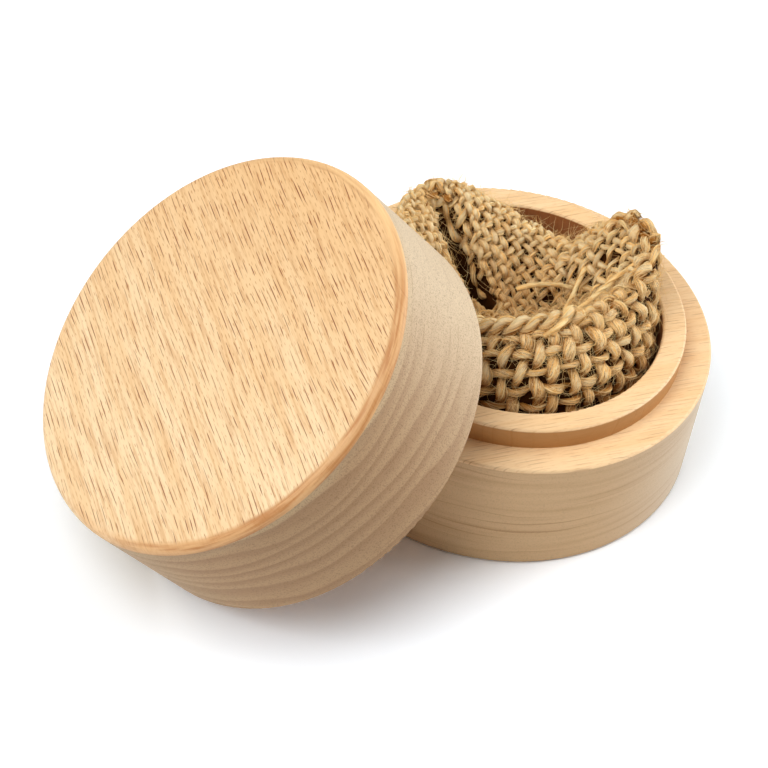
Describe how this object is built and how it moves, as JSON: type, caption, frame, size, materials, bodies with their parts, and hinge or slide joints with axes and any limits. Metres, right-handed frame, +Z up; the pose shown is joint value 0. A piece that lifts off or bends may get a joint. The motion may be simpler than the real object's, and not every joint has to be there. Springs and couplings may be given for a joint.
{
  "type": "wooden ring box",
  "caption": "Round turned beech ring box: a cup with a raised spigot, a push-fit lid that leans on it, and a folded jute cloth nest in its cavity.",
  "frame": {"origin": "centre of the base's underside, where it stands on the table", "axes": "+Z up along the base's turning axis; the lid leans towards -X, so +X points away from it"},
  "size_m": [0.1061, 0.072, 0.0564],
  "materials": {
    "base_beech": "fine sanded, unvarnished",
    "lid_beech": "fine sanded, unvarnished",
    "jute": "coarse plain weave with loose fibres"
  },
  "bodies": {
    "box_base": {"base": "base_beech", "jute_nest": "jute"},
    "box_lid": {"lid": "lid_beech"}
  },
  "joints": [
    {"name": "lid_lift", "type": "slide", "parent": "box_base", "child": "box_lid", "axis": [-0.651, 0, 0.7591], "range_m": [0, 0.06]}
  ]
}
